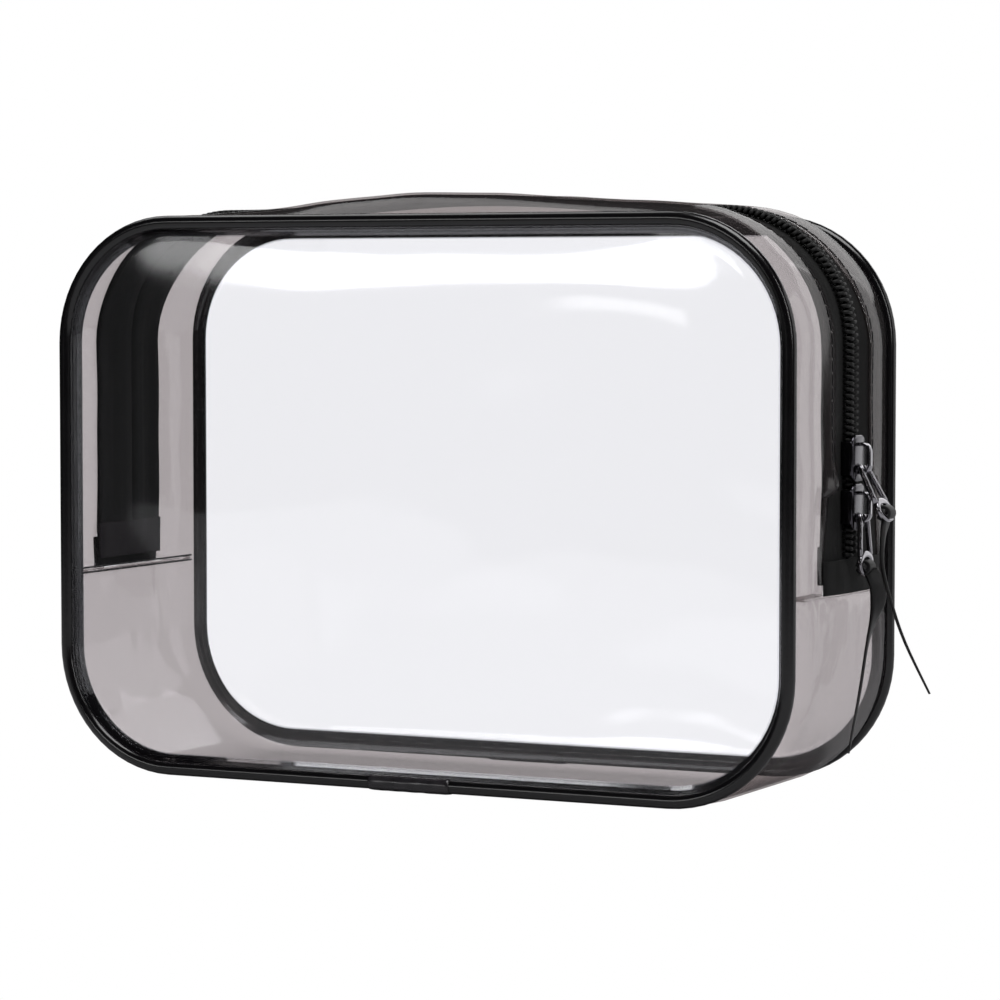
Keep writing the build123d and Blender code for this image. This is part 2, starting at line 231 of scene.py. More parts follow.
def turned(bm, geom, centre, angle, steps=16):
    """Carries edges round a corner whose axis runs front to back."""
    part = bmesh.ops.spin(bm, geom=geom, cent=centre, axis=(0, 1, 0), angle=angle, steps=steps,
                          dvec=(0, 0, 0))
    return part["geom_last"]


def section_edges(bm, section, z, closed):
    """The section's points and edges, standing on the right side at height z."""
    verts = [bm.verts.new((WIDTH / 2 - s, t - DEPTH / 2, z)) for s, t in section]
    pairs = zip(verts, verts[1:] + verts[:1]) if closed else zip(verts, verts[1:])
    return verts + [bm.edges.new(pair) for pair in pairs]


def carried(section, z_side, upper, closed=True, step=4.0):
    """A section of (inward, depth) points carried over the top, or under the bottom."""
    bm = bmesh.new()
    geom = section_edges(bm, section, z_side, closed)
    first = edges_in(geom)
    z_corner = TOP_Z if upper else CORNER_RADIUS
    up = 1 if upper else -1
    side = abs(z_corner - z_side)
    geom = straight(bm, geom, (0, 0, up), side, step)
    geom = turned(bm, geom, (HALF_X, 0, z_corner), -up * math.pi / 2)
    geom = straight(bm, geom, (-1, 0, 0), 2 * HALF_X, step)
    geom = turned(bm, geom, (-HALF_X, 0, z_corner), -up * math.pi / 2)
    geom = straight(bm, geom, (0, 0, -up), side, step)
    if closed:
        cap(bm, first, edges_in(geom))
    return outward(bm)


def ring(section, closed=True, step=4.0):
    """A section carried round the whole outline and joined to itself."""
    bm = bmesh.new()
    middle = HEIGHT / 2
    geom = section_edges(bm, section, middle, closed)
    geom = straight(bm, geom, (0, 0, 1), TOP_Z - middle, step)
    for x, z, way, length in ((HALF_X, TOP_Z, (-1, 0, 0), 2 * HALF_X),
                              (-HALF_X, TOP_Z, (0, 0, -1), TOP_Z - CORNER_RADIUS),
                              (-HALF_X, CORNER_RADIUS, (1, 0, 0), 2 * HALF_X),
                              (HALF_X, CORNER_RADIUS, (0, 0, 1), middle - CORNER_RADIUS)):
        geom = turned(bm, geom, (x, 0, z), -math.pi / 2)
        geom = straight(bm, geom, way, length, step)
    bmesh.ops.remove_doubles(bm, verts=bm.verts, dist=0.01)
    return outward(bm)


def facing(bm, side):
    """Leaves a front piece as it is, or turns it into the back one."""
    if side == "back":
        bmesh.ops.scale(bm, vec=(1, -1, 1), verts=bm.verts)
        bmesh.ops.reverse_faces(bm, faces=bm.faces)
    return bm


def on_corner(centre_x, turn):
    """The same as outline_place, for a turn about the centre of a top corner."""
    out = Vector((math.cos(turn), 0, math.sin(turn)))
    return Vector((centre_x, 0, TOP_Z)) + out * CORNER_RADIUS, Vector((-out.z, 0, out.x)), out


def outline_place(run):
    """Point, way along and way out at a distance along the outline, up the right side from
    z 0 and on over the top."""
    if run < TOP_Z:
        return Vector((WIDTH / 2, 0, run)), Vector((0, 0, 1)), Vector((1, 0, 0))
    run -= TOP_Z
    if run < CORNER_RUN:
        return on_corner(HALF_X, run / CORNER_RADIUS)
    run -= CORNER_RUN
    if run < 2 * HALF_X:
        return Vector((HALF_X - run, 0, HEIGHT)), Vector((-1, 0, 0)), Vector((0, 0, 1))
    run -= 2 * HALF_X
    if run < CORNER_RUN:
        return on_corner(-HALF_X, math.pi / 2 + run / CORNER_RADIUS)
    run -= CORNER_RUN
    return Vector((-WIDTH / 2, 0, TOP_Z - run)), Vector((0, 0, -1)), Vector((-1, 0, 0))


ZIP_RUN = 2 * TOP_Z + 2 * CORNER_RUN + 2 * HALF_X


def run_of(point):
    """Distance along the outline of a point near it, the other way round from outline_place."""
    x, z = point.x, point.z
    if z > TOP_Z and abs(x) > HALF_X:
        turn = math.atan2(z - TOP_Z, abs(x) - HALF_X)
        run = TOP_Z + turn * CORNER_RADIUS
        return run if x > 0 else ZIP_RUN - run
    if z > HEIGHT - CORNER_RADIUS / 2 and abs(x) <= HALF_X:
        return TOP_Z + CORNER_RUN + HALF_X - x
    if z < CORNER_RADIUS / 2 and abs(x) <= HALF_X:
        return -CORNER_RUN - HALF_X + x
    if z < CORNER_RADIUS and abs(x) > HALF_X:
        turn = math.atan2(CORNER_RADIUS - z, abs(x) - HALF_X) * CORNER_RADIUS
        return CORNER_RADIUS - turn if x > 0 else ZIP_RUN - CORNER_RADIUS + turn
    return z if x > 0 else ZIP_RUN - z


def band_uv(bm):
    """UV in metres: along the outline, and across from front to back."""
    layer = bm.loops.layers.uv.new("band")
    for face in bm.faces:
        runs = [run_of(loop.vert.co) for loop in face.loops]
        for loop, run in zip(face.loops, runs):
            near = min(runs, key=lambda other: abs(other - runs[0]))
            if abs(run - near) > ZIP_RUN / 3:
                run = near
            loop[layer].uv = (run * M, (loop.vert.co.y + DEPTH / 2) * M)
    return bm


def ease(value, start, end):
    """0 before start, 1 after end, and smooth between."""
    share = min(1.0, max(0.0, (value - start) / (end - start)))
    return share * share * (3 - 2 * share)


def settled(point):
    """How soft vinyl moves a point of the zip and gusset band: the crown over the top, a puff
    beside the chain, a swell down each side, and slow waves where nothing holds it flat."""
    from_seam = ease(DEPTH / 2 - abs(point.y), 3, 21)
    along = min(1.0, abs(point.x - CROWN_CENTRE) / CROWN_HALF)
    crown = CROWN * (0.5 + 0.5 * math.cos(math.pi * along)) * from_seam
    puff = PUFF * math.exp(-((abs(point.y) - PUFF_PLACE) / PUFF_HALF) ** 2)
    puff *= ease(point.x, -70, -20) * (1 - ease(point.x, 55, 96))
    crown = (crown + puff) * ease(point.z, TOP_Z, HEIGHT - 4)
    free = ease(DEPTH / 2 - abs(point.y), 4, 10) * ease(point.z, 6, 20)
    free *= 1 - ease(13 - abs(point.y), 0, 6)
    wave = noise.noise(Vector((point.x, point.y * 1.4, point.z)) / WAVE_SPAN) * free
    out = Vector((point.x * 0.7, 0, point.z - HEIGHT / 2))
    out.normalize()
    swell = SIDE_SWELL * ease(point.y, -DEPTH / 2 + 14, 2) * (1 - ease(point.y, 15, 29))
    swell *= ease(point.z, 4, 30) * (1 - ease(point.z, TOP_Z - 2, HEIGHT - 10))
    # No swell beside the chain where the sliders travel.
    travelled = ease(point.z, PATCH_TOP - 6, PATCH_TOP)
    travelled *= 1 - ease(point.z, TOP_Z + 4, HEIGHT - 10)
    swell *= 1 - travelled * (1 - ease(abs(point.y), 4, 10))
    side = Vector((math.copysign(swell, point.x) if abs(point.x) > HALF_X else 0, 0, crown))
    return Vector(point) + side + out * wave * WAVE * 2


def settle(bm):
    """Moves every point as the soft band does."""
    for vert in bm.verts:
        vert.co = settled(vert.co)
    return bm


def on_seam(along, aside):
    """Point of the seam's section: along it from the tube's centre, and aside, + to the panel."""
    s = PIPING_CENTRE[0] + along * math.cos(SEAM_LEAN) + aside * math.sin(SEAM_LEAN)
    t = PIPING_CENTRE[1] + along * math.sin(SEAM_LEAN) - aside * math.cos(SEAM_LEAN)
    return s, t


# ---- materials
def linear(code, alpha=1.0):
    """Linear colour of an sRGB hex value."""
    parts = [int(code[i:i + 2], 16) / 255 for i in (0, 2, 4)]
    return [p / 12.92 if p <= 0.04045 else ((p + 0.055) / 1.055) ** 2.4 for p in parts] + [alpha]


def add(tree, kind, sockets=None, **settings):
    """Adds a shader node, with its settings, and its sockets set or linked. A node given for
    a socket stands for its first output."""
    new = tree.nodes.new("ShaderNode" + kind)
    for name, value in settings.items():
        setattr(new, name, value)
    for name, value in (sockets or {}).items():
        if isinstance(value, bpy.types.Node):
            value = value.outputs[0]
        if isinstance(value, bpy.types.NodeSocket):
            tree.links.new(value, new.inputs[name])
        else:
            new.inputs[name].default_value = value
    return new


def new_material(name):
    """An empty node material and its output's surface socket."""
    material = bpy.data.materials.new(name)
    material.use_nodes = True
    tree = material.node_tree
    tree.nodes.clear()
    return material, tree, tree.nodes.new("ShaderNodeOutputMaterial").inputs["Surface"]


GRAZING_MIRROR = 0.35     # how much more of a film is a mirror edge on than face on


def pvc_film(name, clear, deep, body, haze, mirror, gloss):
    """Calendered PVC film. Each face passes clear, or deep when seen edge on, because the way
    through is longer. It scatters a share of body, and mirrors more as it is seen more edge on.
    A faint waviness breaks up its highlights, and keeps the mirror from ever being full."""
    material, tree, surface = new_material(name)
    place = add(tree, "TexCoord").outputs["Object"]
    slow = add(tree, "TexNoise", {"Vector": place, "Scale": 26.0, "Detail": 1.0})
    bump = add(tree, "Bump", {"Height": slow, "Distance": 0.0003, "Strength": 0.4})
    smear = add(tree, "MapRange", {"Value": slow, "To Min": gloss * 0.8,
                                   "To Max": gloss * 1.6})
    mirrored = add(tree, "BsdfGlossy", {"Roughness": smear, "Normal": bump})
    edge_on = add(tree, "LayerWeight", {"Blend": 0.5})
    longer = add(tree, "Math", {0: edge_on.outputs["Facing"], 1: 4.0}, operation="POWER")
    tint = add(tree, "Mix", {"Factor": longer, "A": clear, "B": deep},
               data_type="RGBA")
    through = add(tree, "BsdfTransparent", {"Color": tint.outputs["Result"]})
    milky = add(tree, "BsdfDiffuse", {"Color": body, "Normal": bump})
    film = add(tree, "MixShader", {"Fac": haze, 1: through, 2: milky})
    steep = add(tree, "Math", {0: edge_on.outputs["Facing"], 1: 5.0}, operation="POWER")
    share = add(tree, "Math", {0: steep, 1: GRAZING_MIRROR, 2: mirror}, operation="MULTIPLY_ADD")
    whole = add(tree, "MixShader", {"Fac": share, 1: film, 2: mirrored})
    tree.links.new(whole.outputs[0], surface)
    return material


def coat(tree, surface, tint_by, colours, rough_by, gloss, bump, **extra):
    """Ends a material in a skin whose colour goes between two hex values and its roughness
    between two ends, each by a pattern."""
    tint = add(tree, "Mix", {"Factor": tint_by, "A": linear(colours[0]),
                             "B": linear(colours[1])}, data_type="RGBA")
    rough = add(tree, "MapRange", {"Value": rough_by, "To Min": gloss[0], "To Max": gloss[1]})
    skin = add(tree, "BsdfPrincipled", {"Base Color": tint.outputs["Result"],
                                        "Roughness": rough, "Normal": bump, **extra})
    tree.links.new(skin.outputs[0], surface)


def extruded_pvc():
    """Black welt piping: extruded PVC, so glossy, with fine draw lines along it."""
    material, tree, surface = new_material("extruded_black_pvc")
    place = add(tree, "TexCoord").outputs["Object"]
    marks = add(tree, "TexNoise", {"Vector": place, "Scale": 900.0, "Detail": 3.0})
    slow = add(tree, "TexNoise", {"Vector": place, "Scale": 60.0})
    bump = add(tree, "Bump", {"Height": marks, "Distance": 0.00002, "Strength": 0.4})
    coat(tree, surface, marks, ("060507", "0d0b0e"), slow,
         (0.13, 0.24), bump, IOR=1.52)
    return material


TWILL_ROW = 0.004         # metres, width of a row of the tape's herringbone
TWILL_THREAD = 0.00055    # metres, from one thread to the next


def woven_tape(name, dark, light):
    """Polyester zip tape: a herringbone of dyed threads, matt with a soft sheen."""
    material, tree, surface = new_material(name)
    place = add(tree, "UVMap", uv_map="band").outputs["UV"]
    parts = add(tree, "SeparateXYZ", {"Vector": place})
    # Rows lean one way and then the other.
    lean = add(tree, "Math", {0: parts.outputs["Y"], 1: TWILL_ROW}, operation="PINGPONG")
    slant = add(tree, "Math", {0: parts.outputs["X"], 1: lean}, operation="ADD")
    phase = add(tree, "Math", {0: slant, 1: 2 * math.pi / TWILL_THREAD},
                operation="MULTIPLY")
    thread = add(tree, "Math", {0: phase}, operation="SINE")
    fuzz = add(tree, "TexNoise", {"Vector": place, "Scale": 2600.0, "Detail": 2.0})
    height = add(tree, "Math", {0: fuzz, 1: 0.5, 2: thread},
                 operation="MULTIPLY_ADD")
    bump = add(tree, "Bump", {"Height": height, "Distance": 0.00008})
    shade = add(tree, "MapRange", {"Value": thread, "From Min": -1.0})
    coat(tree, surface, shade, (dark, light), fuzz,
         (0.7, 0.92), bump, **{"Specular IOR Level": 0.3, "Sheen Weight": 0.02,
                               "Sheen Roughness": 0.4})
    return material


def plain_skin(name, colours, grain, depth, gloss, detail=3.0, **extra):
    """Opaque skin. Colour, between two hex values, roughness, between two ends, and relief
    all vary with one grain. Grain and depth are in metres."""
    material, tree, surface = new_material(name)
    place = add(tree, "TexCoord").outputs["Object"]
    spots = add(tree, "TexNoise", {"Vector": place, "Scale": 1 / grain, "Detail": detail})
    bump = add(tree, "Bump", {"Height": spots, "Distance": depth})
    coat(tree, surface, spots, colours, spots, gloss, bump,
         **extra)
    return material


# Panels: almost water clear, with a trace of blue and sharp highlights.
clear_film = pvc_film("calendered_clear_pvc", linear("fefeff"), linear("f6f6f9"),
                      linear("e6e6ee"), haze=0.0006, mirror=0.035, gloss=0.05)
# Gusset and strips: a warm grey that darkens where two layers cross, slightly milky.
smoke_film = pvc_film("calendered_smoke_pvc", linear("d9d5d5"), linear("d2cece"),
                      linear("a29a9c"), haze=0.035, mirror=0.04, gloss=0.07)
piping_skin = extruded_pvc()
# Join sleeve: thin vinyl wrapped over the piping's ends, greyer than it and creased.
sleeve_skin = plain_skin("wrapped_grey_vinyl", ("100f11", "353236"), 1 / 420, 0.00006,
                         (0.14, 0.3), detail=4.0)
tape_cloth = woven_tape("woven_black_polyester", "020202", "0a090a")
# The lining inside the zip's ends shows as dark grey against the black tapes.
lining_cloth = woven_tape("woven_charcoal_polyester", "171417", "332e32")
# Coil: drawn nylon rod, black with a dull gleam on each turn.
coil_nylon = plain_skin("drawn_black_nylon", ("020202", "060506"), 0.0009, 0.00002,
                        (0.55, 0.7), **{"Specular IOR Level": 0.35})
# Bails and pulls: polished plating, dark with near-white glints.
gunmetal = plain_skin("gunmetal_plated_zinc", ("88868b", "a6a4a9"), 0.0011, 0.000006,
                      (0.07, 0.15), Metallic=1.0)
# Slider bodies: a darker and softer plating, so that the bails stand out from them.
black_nickel = plain_skin("black_nickel_plated_zinc", ("3c3b3f", "56545a"), 0.0013, 0.000008,
                          (0.1, 0.2), Metallic=1.0)
# Straps: smooth coated leather, black with a broad soft sheen.
strap_skin = plain_skin("coated_black_leather", ("040304", "0b090b"), 0.0006, 0.00005,
                        (0.42, 0.6))
# Sewing thread: bonded black polyester, a shade lighter than the tape so that rows show.
thread = plain_skin("bonded_black_thread", ("0b0a0c", "1a181b"), 0.0004, 0.00003, (0.5, 0.7))


# ---- films
def thicken(piece, thick):
    """Gives a film its thickness, half to each side."""
    wall = piece.modifiers.new("film", "SOLIDIFY")
    wall.thickness = thick * M
    wall.offset = 0
    return piece


def as_cut(piece):
    """Returns the piece as it is. Its seams hold it stretched."""
    return piece


def band_section():
    """Centre line of the smoke film from its raw edge out to the flat of the band."""
    aside = -(FLANGE_THICK / 2 + FILM_SETTLE + GUSSET_THICK / 2)
    raw, root = on_seam(SEAM_REACH, aside), on_seam(SEAM_ROOT, aside)
    flat_s, flat_t = GUSSET_THICK / 2, 2 * PIPING_RADIUS + GUSSET_EASE
    points = [raw, root]
    for i in range(1, 9):
        share = i / 8
        fall = (1 - share) ** 2.2
        points.append((flat_s + (root[0] - flat_s) * fall, root[1] + (flat_t - root[1]) * share))
    return points


def levels(start, end, step):
    """Even steps from start to end, without start."""
    count = max(1, round((end - start) / step))
    return [start + (end - start) * i / count for i in range(1, count + 1)]


# Soft upright creases in the gusset's sides: depth from the middle at the cross seam, lean
# and height.
CREASES = ((14.5, 0.22, 0.55), (4.0, -0.1, -0.45), (20.0, 0.12, -0.3))
CREASE_WIDTH = 1.1
LIP_RIPPLE = 0.5          # how far a turned-in lip waves up and down


def turn_in(bm, z):
    """Turns the ends of a film into the bag at both cross seams, at height z."""
    ends = [edge for edge in bm.edges if edge.is_boundary
            and all(abs(vert.co.z - z) < 0.01 and abs(vert.co.x) > HALF_X
                    and abs(vert.co.y) < DEPTH / 2 - LIP_START for vert in edge.verts)]
    for reach in (0.25, TURN_IN / 2, TURN_IN / 2):
        made = bmesh.ops.extrude_edge_only(bm, edges=ends)["geom"]
        ends = edges_in(made)
        for vert in verts_in(made):
            ripple = noise.noise(Vector((vert.co.x, vert.co.y / 5, 4))) * LIP_RIPPLE
            vert.co.x -= math.copysign(reach, vert.co.x)
            vert.co.z += ripple * reach / TURN_IN


def close_ends(bm, z):
    """Brings the ends of a film beyond its turned-in lips up to the cross seam."""
    for vert in bm.verts:
        if abs(vert.co.z - z) < 0.01 and abs(vert.co.y) > DEPTH / 2 - LIP_START:
            vert.co.z = ZIP_END_Z - FILM_SETTLE / 2


def stitch_row(name, places, ways, radius=THREAD_RADIUS, length=0.8):
    """Thread stitches lying along ways at places."""
    pattern = bmesh.new()
    bmesh.ops.create_cone(pattern, cap_ends=True, segments=6, radius1=radius, radius2=radius,
                          depth=STITCH * length)
    caps = [face for face in pattern.faces if len(face.verts) == 6]
    bmesh.ops.inset_region(pattern, faces=caps, thickness=radius * 0.45, depth=radius * 0.5)
    mesh = as_mesh(pattern, "stitch")
    bm = bmesh.new()
    for place, way in zip(places, ways):
        turn = Vector(way).to_track_quat("Z", "Y").to_matrix().to_4x4()
        stamp(bm, mesh, Matrix.Translation(place) @ turn)
    bpy.data.meshes.remove(mesh)
    return finish_piece(name, outward(bm), thread)


def make_stitches(side):
    """Rows that sew the tape to its strip, seen just in from the strip's free edge."""
    sign = -1 if side == "front" else 1
    places, ways = [], []
    run = ZIP_END_Z + STITCH_START
    while run < ZIP_RUN - ZIP_END_Z - STITCH_START:
        point, along, out = outline_place(run)
        point = settled(point + Vector((0, sign * (DEPTH / 2 - STRIP_EDGE + STITCH_INSET), 0)))
        places.append(point + out * THREAD_RADIUS * 0.3)
        ways.append(along)
        run += STITCH
    stitch_row(side + "_strip_stitches", places, ways)


def make_seam_stitches():
    """Overlocking along the turned-in lips of the left cross seam."""
    places, ways = [], []
    for height in (-0.62, 0.62):
        y = -DEPTH / 2 + LIP_START + 1
        while y < DEPTH / 2 - LIP_START:
            places.append((TURN_IN - 0.2 - WIDTH / 2, y, ZIP_END_Z + height))
            ways.append((0, 1, 0))
            y += STITCH * 0.9
    stitch_row("left_seam_stitches", places, ways, SEAM_THREAD_RADIUS, 0.86)


def make_bottom_gusset():
    """Smoke film from one cross seam down, under the bag and up to the other, its ends turned
    in and a few creases below them."""
    near = band_section()
    far = [(s, DEPTH - t) for s, t in reversed(near)]
    middle = [(GUSSET_THICK / 2, t) for t in levels(near[-1][1], far[0][1], 1.6)[:-1]]
    top = ZIP_END_Z - FILM_SETTLE - GUSSET_THICK / 2
    bm = carried(near + middle + far, top, False, closed=False, step=2.2)
    for vert in bm.verts:
        crease = 0
        for place, slope, height in CREASES:
            off = abs(vert.co.y) - place - slope * (top - vert.co.z)
            crease += height * math.exp(-(off / CREASE_WIDTH) ** 2)
        crease *= ease(vert.co.z, 22, 44) * (1 - ease(vert.co.z, top - 5, top))
        if abs(vert.co.x) > HALF_X:
            vert.co.x += math.copysign(crease, vert.co.x)
    turn_in(bm, top)
    close_ends(bm, top)
    piece = finish_piece("bottom_gusset_film", band_uv(settle(bm)), smoke_film,
                         nodes=["bottom_gusset"])
    return as_cut(thicken(piece, GUSSET_THICK))


def make_zip_strip(side):
    """Smoke film between piping and zip, trimmed back beside the zip's ends. Its free edge
    curls out a little where the trimming starts."""
    near = band_section()
    ramp_end = near[-1][1]
    flat = [(GUSSET_THICK / 2, t) for t in levels(ramp_end, STRIP_EDGE, 2)]
    bottom = ZIP_END_Z + GUSSET_THICK / 2
    bm = carried(near + flat, bottom, True, closed=False, step=1.2)
    for vert in bm.verts:
        depth = vert.co.y + DEPTH / 2
        if depth > ramp_end and abs(vert.co.x) > HALF_X:
            trim = TRIM_STEP * (1 - ease(vert.co.z, STRIP_CUT_Z - 1, STRIP_CUT_Z + 0.6))
            trim += TRIM_SLANT * (1 - ease(vert.co.z, ZIP_END_Z + 2, STRIP_CUT_Z))
            share = (depth - ramp_end) / (STRIP_EDGE - ramp_end)
            vert.co.y -= trim * share
            curl = ease(share, 0.4, 1) * ease(vert.co.z, STRIP_CUT_Z - 1, STRIP_CUT_Z + 1)
            curl *= 1 - ease(vert.co.z, STRIP_CUT_Z + 1, STRIP_CUT_Z + 9)
            vert.co.x += math.copysign(curl * 0.9, vert.co.x)
    turn_in(bm, bottom)
    close_ends(bm, bottom)
    piece = finish_piece(side + "_strip_film", band_uv(settle(facing(bm, side))), smoke_film,
                         nodes=[side + "_zip_strip"])
    return as_cut(thicken(piece, GUSSET_THICK))


def panel_bulge(x, z):
    """How far a panel's film stands out, in millimetres: full in the middle and slack at the
    corners, with slow waves."""
    u, v = abs(x) / (WIDTH / 2 - 5), abs(z - HEIGHT / 2) / (HEIGHT / 2 - 5)
    pillow = max(0.0, 1 - u ** 2.6) * max(0.0, 1 - v ** 2.4)
    held = min(1.0, max(0.0, 1 - max(u, v)) * 5)
    wave = noise.noise(Vector((x / 60, 3.0, z / 34))) * 1.1
    wave += noise.noise(Vector((x / 24, 9.0, z / 21))) * 0.2
    return BULGE * pillow ** 0.75 + wave * WAVE * 3 * held


def make_panel(side):
    """Film that leaves the seam, turns over the piping's root and stands out in the middle."""
    aside = FLANGE_THICK / 2 + FILM_SETTLE + PANEL_THICK / 2
    raw, root = on_seam(SEAM_REACH, aside), on_seam(SEAM_ROOT, aside)
    lip = [raw, root, (root[0] + 1.2, root[1] - 0.15)]
    bm = ring(lip, closed=False, step=3.5)
    rim = [edge for edge in bm.edges if edge.is_boundary
           and abs(edge.verts[0].co.y + DEPTH / 2 - lip[-1][1]) < 0.01]
    centre = Vector((0, 0, HEIGHT / 2))
    rings = 40
    for i in range(1, rings):
        moved = bmesh.ops.extrude_edge_only(bm, edges=rim)["geom"]
        rim = edges_in(moved)
        shrink = (rings - i) / (rings - i + 1)
        bmesh.ops.scale(bm, vec=(shrink, 1, shrink), verts=verts_in(moved),
                        space=Matrix.Translation(-centre))
    cap(bm, rim)
    bmesh.ops.poke(bm, faces=[face for face in bm.faces if len(face.verts) > 4])
    for vert in bm.verts:
        if vert.co.y + DEPTH / 2 <= lip[-1][1] + 0.02:
            vert.co.y -= panel_bulge(vert.co.x, vert.co.z)
    piece = finish_piece(side + "_panel_film", facing(outward(bm), side), clear_film,
                         nodes=[side + "_panel"])
    return as_cut(thicken(piece, PANEL_THICK))


# ---- piping
def round_seam(mouth, steps):
    """Angles round the tube, from one side of the flange to the other."""
    return [SEAM_LEAN + mouth + (2 * math.pi - 2 * mouth) * i / steps for i in range(steps + 1)]


def make_piping(side):
    """Tube and flange in one section."""
    section = []
    for turn in round_seam(math.asin(FLANGE_THICK / 2 / PIPING_RADIUS), 24):
        section.append((PIPING_CENTRE[0] + PIPING_RADIUS * math.cos(turn),
                        PIPING_CENTRE[1] + PIPING_RADIUS * math.sin(turn)))
    section += [on_seam(SEAM_REACH, FLANGE_THICK / 2), on_seam(SEAM_REACH, -FLANGE_THICK / 2)]
    return finish_piece(side + "_welt", facing(ring(section), side), piping_skin,
                        nodes=[side + "_piping"])


# ---- zip
def make_tape(side):
    """Woven tape under the strip, with a corded edge beside the chain."""
    near, far = TAPE_NEAR, tape_high[1] + DEPTH / 2
    across = [near] + levels(near, far, 2.4)
    section = [(TAPE_FACE, t) for t in across]
    section += [(TAPE_FACE + TAPE_THICK, t) for t in reversed(across)]
    bm = carried(section, tape_low[2], True)
    for vert in bm.verts:
        if vert.co.y > -1:
            travelled = vert.co.x > HALF_X and vert.co.z < TOP_Z
            vert.co.y = -TRAVEL_GAP if travelled else -TAPE_GAP
    return finish_piece(side + "_tape", band_uv(settle(facing(bm, side))), tape_cloth,
                        nodes=[side + "_zip_tape"])


def coil_turn(bm, reach):
    """One turn of the coil seen from outside: a rod from the outer edge in to its head, with a
    foot down at each end. Along is X, out is Z, and the zip's middle is at Y 0."""
    outer = -CHAIN_WIDTH / 2 + COIL_ROD
    route = [(0.25, outer, 0.35), (0.15, outer - 0.1, 1.1), (0.05, outer + 0.5, 1.72),
             (-0.1, -0.9, 1.75), (-0.12, reach - 0.4, 1.6), (-0.12, reach, 1.0),
             (-0.12, reach - 0.25, 0.45)]
    rings = []
    for i, point in enumerate(route):
        ahead = Vector(route[min(i + 1, len(route) - 1)]) - Vector(route[max(i - 1, 0)])
        turn = ahead.to_track_quat("Z", "X").to_matrix().to_4x4()
        size = COIL_ROD * (1.18 if i in (4, 5) else 1.0)
        made = bmesh.ops.create_circle(bm, segments=6, radius=size,
                                       matrix=Matrix.Translation(point) @ turn)
        edges = list({edge for vert in made["verts"] for edge in vert.link_edges})
        if rings:
            bmesh.ops.bridge_loops(bm, edges=rings[-1] + edges)
        rings.append(edges)
    cap(bm, rings[0], rings[-1])


def make_coil(side):
    """Half of the chain. Its heads mesh with the other half's, except over the straight run
    that the sliders travel, where they stand just clear of the sliders' diamonds."""
    sign = -1 if side == "front" else 1
    patterns = {}
    for reach in (HEAD_MESHED, HEAD_OPEN):
        pattern = bmesh.new()
        coil_turn(pattern, reach)
        patterns[reach] = as_mesh(outward(pattern), "turn")
    bm = bmesh.new()
    start = PATCH_TOP + COIL_START + (COIL_PITCH / 2 if side == "back" else 0)
    count = int((ZIP_RUN - PATCH_TOP - COIL_START - start) / COIL_PITCH)
    for i in range(count):
        run = start + i * COIL_PITCH
        reach = HEAD_OPEN if run < TOP_Z + 2 else HEAD_MESHED
        point, along, out = outline_place(run)
        point = settled(point) - out * TAPE_FACE
        stamp(bm, patterns[reach], stood(point, along, Vector((0, -sign, 0)), out))
    for pattern in patterns.values():
        bpy.data.meshes.remove(pattern)
    return finish_piece(side + "_coil", outward(bm), coil_nylon,
                        nodes=[side + "_zip_coil"])


def flat_cloth(name, low, high, across, node, cloth):
    """Thin woven piece on a side of the bag, gridded so that it follows the soft band."""
    bm = bmesh.new()
    made = bmesh.ops.create_grid(bm, x_segments=across, y_segments=8, size=0.5)["verts"]
    turn = Matrix.Rotation(math.pi / 2, 4, "Y")
    bmesh.ops.transform(bm, matrix=turn, verts=made)
    bmesh.ops.scale(bm, vec=(1, high[1] - low[1], high[2] - low[2]), verts=made)
    middle = (Vector(low) + Vector(high)) / 2
    bmesh.ops.translate(bm, vec=middle, verts=made)
    piece = finish_piece(name, band_uv(settle(bm)), cloth, nodes=[node])
    return thicken(piece, high[0] - low[0])


def make_zip_ends(side):
    """The patch outside over the chain's end, and the lining inside over the tapes' ends."""
    low, high = node_box(side + "_zip_end_patch")
    outer = high[0] if side == "right" else low[0]
    sign = math.copysign(1, outer)
    low[0], high[0] = sorted(outer + sign * rise
                               for rise in (PATCH_RISE, PATCH_RISE + PATCH_THICK))
    low[1], high[1] = low[1] - PATCH_LAP, high[1] + PATCH_LAP
    flat_cloth(side + "_end_patch", low, high, 30, side + "_zip_end_patch", tape_cloth)
    low, high = node_box(side + "_zip_end_lining")
    flat_cloth(side + "_end_lining", low, high, 24, side + "_zip_end_lining", lining_cloth)


SLEEVE_INNER = 1.8        # radii of the film wrapped round the piping
SLEEVE_OUTER = 2.02
SLEEVE_SLIT = 0.8         # width of the slit that the flange comes out through
SLEEVE_CRUMPLE = 0.09
SLEEVE_PINCH = 0.14       # how far its ends are drawn in


